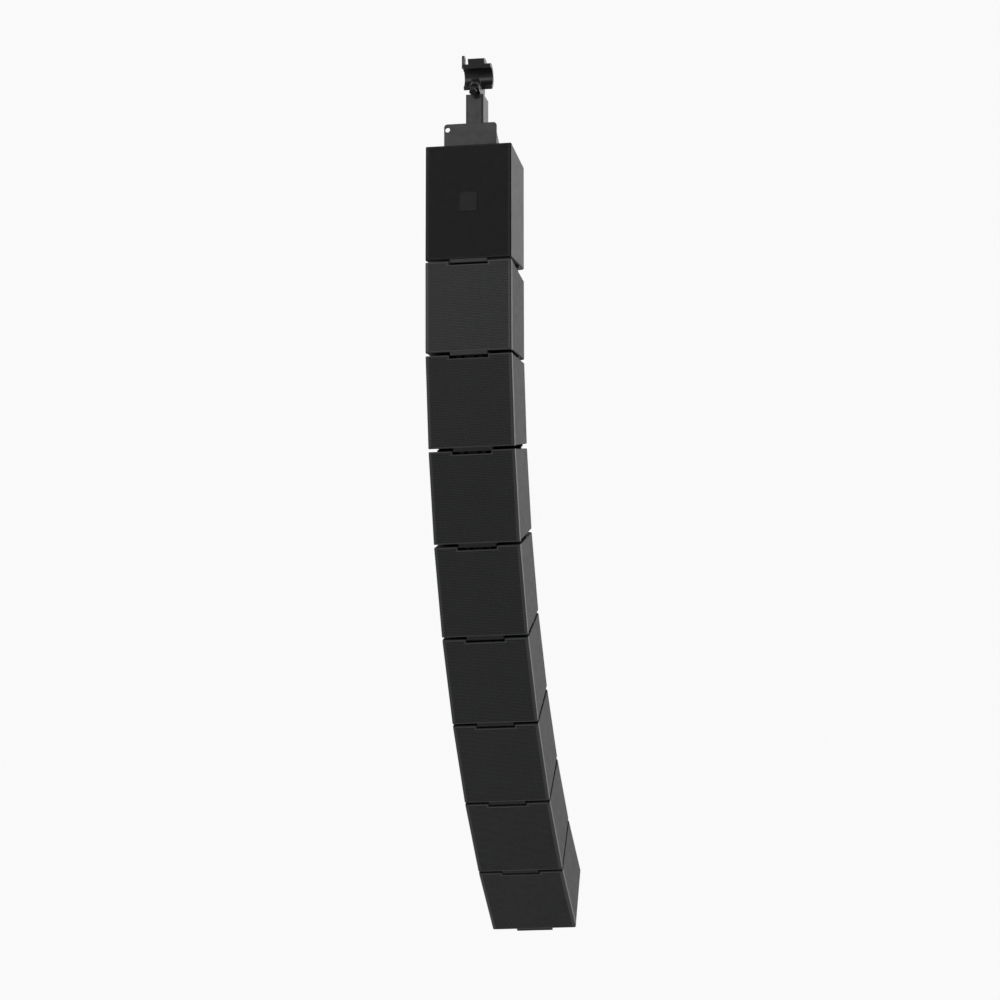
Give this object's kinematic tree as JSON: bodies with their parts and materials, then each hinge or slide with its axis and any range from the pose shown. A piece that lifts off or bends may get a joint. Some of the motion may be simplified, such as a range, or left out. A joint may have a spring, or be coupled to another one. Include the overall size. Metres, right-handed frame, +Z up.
{
  "type": "line array speaker",
  "caption": "Truss-hung curved column of wedge-shaped loudspeaker boxes with grille fronts, splay links, a taller powered head box, fly frame and hook clamp.",
  "frame": {"origin": "centre of the truss clamp's bore, on the axis of the truss chord", "axes": "+X along the truss chord, +Y towards the back of the array, +Z up"},
  "size_m": [0.24, 1.1095, 2.3279],
  "materials": {
    "cabinet_shell": "fine textured black coating",
    "grille_metal": "powder-coated black perforated sheet over foam",
    "driver_metal": "black satin",
    "cone_paper": "matte paper and rubber",
    "rigging_steel": "black zinc",
    "lever_steel": "satin",
    "fly_paint": "powder coat",
    "clamp_alloy": "black anodised casting",
    "panel_metal": "black anodised",
    "fan_plastic": "satin",
    "switch_plastic": "gloss"
  },
  "bodies": {
    "clamp": {"clamp_body": "clamp_alloy"},
    "clamp_pad": {"clamp_pad": "clamp_alloy"},
    "clamp_screw": {"clamp_screw": "rigging_steel"},
    "head": {"hanger": "fly_paint", "fly_frame": "fly_paint", "head_cabinet": "cabinet_shell", "head_grille": "grille_metal", "head_rigging": "rigging_steel", "amp_module": "panel_metal"},
    "head_lever": {"head_lever": "lever_steel"},
    "fan": {"fan_rotor": "fan_plastic"},
    "power_switch": {"power_switch": "switch_plastic"},
    "sat1": {"sat1_cabinet": "cabinet_shell", "sat1_grille": "grille_metal", "sat1_drivers": "driver_metal", "sat1_rigging": "rigging_steel"},
    "sat1_cone": {"sat1_cone": "cone_paper"},
    "sat1_lever": {"sat1_lever": "lever_steel"},
    "sat2": {"sat2_cabinet": "cabinet_shell", "sat2_grille": "grille_metal", "sat2_drivers": "driver_metal", "sat2_rigging": "rigging_steel"},
    "sat2_cone": {"sat2_cone": "cone_paper"},
    "sat2_lever": {"sat2_lever": "lever_steel"},
    "sat3": {"sat3_cabinet": "cabinet_shell", "sat3_grille": "grille_metal", "sat3_drivers": "driver_metal", "sat3_rigging": "rigging_steel"},
    "sat3_cone": {"sat3_cone": "cone_paper"},
    "sat3_lever": {"sat3_lever": "lever_steel"},
    "sat4": {"sat4_cabinet": "cabinet_shell", "sat4_grille": "grille_metal", "sat4_drivers": "driver_metal", "sat4_rigging": "rigging_steel"},
    "sat4_cone": {"sat4_cone": "cone_paper"},
    "sat4_lever": {"sat4_lever": "lever_steel"},
    "sat5": {"sat5_cabinet": "cabinet_shell", "sat5_grille": "grille_metal", "sat5_drivers": "driver_metal", "sat5_rigging": "rigging_steel"},
    "sat5_cone": {"sat5_cone": "cone_paper"},
    "sat5_lever": {"sat5_lever": "lever_steel"},
    "sat6": {"sat6_cabinet": "cabinet_shell", "sat6_grille": "grille_metal", "sat6_drivers": "driver_metal", "sat6_rigging": "rigging_steel"},
    "sat6_cone": {"sat6_cone": "cone_paper"},
    "sat6_lever": {"sat6_lever": "lever_steel"},
    "sat7": {"sat7_cabinet": "cabinet_shell", "sat7_grille": "grille_metal", "sat7_drivers": "driver_metal", "sat7_rigging": "rigging_steel"},
    "sat7_cone": {"sat7_cone": "cone_paper"},
    "sat7_lever": {"sat7_lever": "lever_steel"},
    "sat8": {"sat8_cabinet": "cabinet_shell", "sat8_grille": "grille_metal", "sat8_drivers": "driver_metal", "sat8_rigging": "rigging_steel"},
    "sat8_cone": {"sat8_cone": "cone_paper"},
    "sat8_lever": {"sat8_lever": "lever_steel"}
  },
  "joints": [
    {"name": "hanger_swivel", "type": "hinge", "parent": "clamp", "child": "head", "pos_m": [0, 0, 0], "axis": [0, 0, 1], "range_deg": [-20, 20]},
    {"name": "clamp_pad_slide", "type": "slide", "parent": "clamp", "child": "clamp_pad", "axis": [0, -0.7071, -0.7071], "range_m": [0, 0.009]},
    {"name": "clamp_screw_turn", "type": "hinge", "parent": "clamp_pad", "child": "clamp_screw", "pos_m": [0, -0.04, -0.04], "axis": [0, -0.7071, -0.7071], "range_deg": [0, 1080]},
    {"name": "head_lever_turn", "type": "hinge", "parent": "head", "child": "head_lever", "pos_m": [0, 0.079, -0.52], "axis": [0, 1, 0], "range_deg": [0, 90]},
    {"name": "fan_spin", "type": "hinge", "parent": "head", "child": "fan", "pos_m": [0.052, 0.0585, -0.413], "axis": [0, 1, 0], "continuous": true},
    {"name": "power_switch_tip", "type": "hinge", "parent": "head", "child": "power_switch", "pos_m": [0.072, 0.072, -0.297], "axis": [1, 0, 0], "range_deg": [0, 16]},
    {"name": "splay1", "type": "hinge", "parent": "head", "child": "sat1", "pos_m": [0, -0.108, -0.562], "axis": [1, 0, 0], "range_deg": [-1, 9]},
    {"name": "cone1_travel", "type": "slide", "parent": "sat1", "child": "sat1_cone", "axis": [0, -0.9998, -0.0175], "range_m": [-0.004, 0.004], "stiffness_N_per_m": 2000},
    {"name": "lever1_turn", "type": "hinge", "parent": "sat1", "child": "sat1_lever", "pos_m": [0, 0.08278, -0.7767], "axis": [0, 0.9998, 0.0175], "range_deg": [0, 90]},
    {"name": "splay2", "type": "hinge", "parent": "sat1", "child": "sat2", "pos_m": [0, -0.10346, -0.82196], "axis": [1, 0, 0], "range_deg": [-9, 1]},
    {"name": "cone2_travel", "type": "slide", "parent": "sat2", "child": "sat2_cone", "axis": [0, -0.9848, -0.1736], "range_m": [-0.004, 0.004], "stiffness_N_per_m": 2000},
    {"name": "lever2_turn", "type": "hinge", "parent": "sat2", "child": "sat2_lever", "pos_m": [0, 0.11855, -1.00418], "axis": [0, 0.9848, 0.1736], "range_deg": [0, 90]},
    {"name": "splay3", "type": "hinge", "parent": "sat2", "child": "sat3", "pos_m": [0, -0.05831, -1.07801], "axis": [1, 0, 0], "range_deg": [-8, 2]},
    {"name": "cone3_travel", "type": "slide", "parent": "sat3", "child": "sat3_cone", "axis": [0, -0.9511, -0.309], "range_m": [-0.004, 0.004], "stiffness_N_per_m": 2000},
    {"name": "lever3_turn", "type": "hinge", "parent": "sat3", "child": "sat3_lever", "pos_m": [0, 0.1869, -1.22755], "axis": [0, 0.9511, 0.309], "range_deg": [0, 90]},
    {"name": "splay4", "type": "hinge", "parent": "sat3", "child": "sat4", "pos_m": [0, 0.02203, -1.32529], "axis": [1, 0, 0], "range_deg": [-9, 1]},
    {"name": "cone4_travel", "type": "slide", "parent": "sat4", "child": "sat4_cone", "axis": [0, -0.891, -0.454], "range_m": [-0.004, 0.004], "stiffness_N_per_m": 2000},
    {"name": "lever4_turn", "type": "hinge", "parent": "sat4", "child": "sat4_lever", "pos_m": [0, 0.28762, -1.43463], "axis": [0, 0.891, 0.454], "range_deg": [0, 90]},
    {"name": "splay5", "type": "hinge", "parent": "sat4", "child": "sat5", "pos_m": [0, 0.14007, -1.55695], "axis": [1, 0, 0], "range_deg": [-9, 1]},
    {"name": "cone5_travel", "type": "slide", "parent": "sat5", "child": "sat5_cone", "axis": [0, -0.809, -0.5878], "range_m": [-0.004, 0.004], "stiffness_N_per_m": 2000},
    {"name": "lever5_turn", "type": "hinge", "parent": "sat5", "child": "sat5_lever", "pos_m": [0, 0.41949, -1.6234], "axis": [0, 0.809, 0.5878], "range_deg": [0, 90]},
    {"name": "splay6", "type": "hinge", "parent": "sat5", "child": "sat6", "pos_m": [0, 0.29289, -1.76729], "axis": [1, 0, 0], "range_deg": [-8, 2]},
    {"name": "cone6_travel", "type": "slide", "parent": "sat6", "child": "sat6_cone", "axis": [0, -0.7193, -0.6947], "range_m": [-0.004, 0.004], "stiffness_N_per_m": 2000},
    {"name": "lever6_turn", "type": "hinge", "parent": "sat6", "child": "sat6_lever", "pos_m": [0, 0.57884, -1.79421], "axis": [0, 0.7193, 0.6947], "range_deg": [0, 90]},
    {"name": "splay7", "type": "hinge", "parent": "sat6", "child": "sat7", "pos_m": [0, 0.4735, -1.95432], "axis": [1, 0, 0], "range_deg": [-8, 2]},
    {"name": "cone7_travel", "type": "slide", "parent": "sat7", "child": "sat7_cone", "axis": [0, -0.6157, -0.788], "range_m": [-0.004, 0.004], "stiffness_N_per_m": 2000},
    {"name": "lever7_turn", "type": "hinge", "parent": "sat7", "child": "sat7_lever", "pos_m": [0, 0.76042, -1.94118], "axis": [0, 0.6157, 0.788], "range_deg": [0, 90]},
    {"name": "splay8", "type": "hinge", "parent": "sat7", "child": "sat8", "pos_m": [0, 0.67839, -2.11439], "axis": [1, 0, 0], "range_deg": [-8, 2]},
    {"name": "cone8_travel", "type": "slide", "parent": "sat8", "child": "sat8_cone", "axis": [0, -0.5, -0.866], "range_m": [-0.004, 0.004], "stiffness_N_per_m": 2000},
    {"name": "lever8_turn", "type": "hinge", "parent": "sat8", "child": "sat8_lever", "pos_m": [0, 0.96068, -2.06144], "axis": [0, 0.5, 0.866], "range_deg": [0, 90]}
  ],
  "couplings": [
    {"joint": "clamp_screw_turn", "follows": "clamp_pad_slide", "rad_per_m": 2094.4}
  ]
}
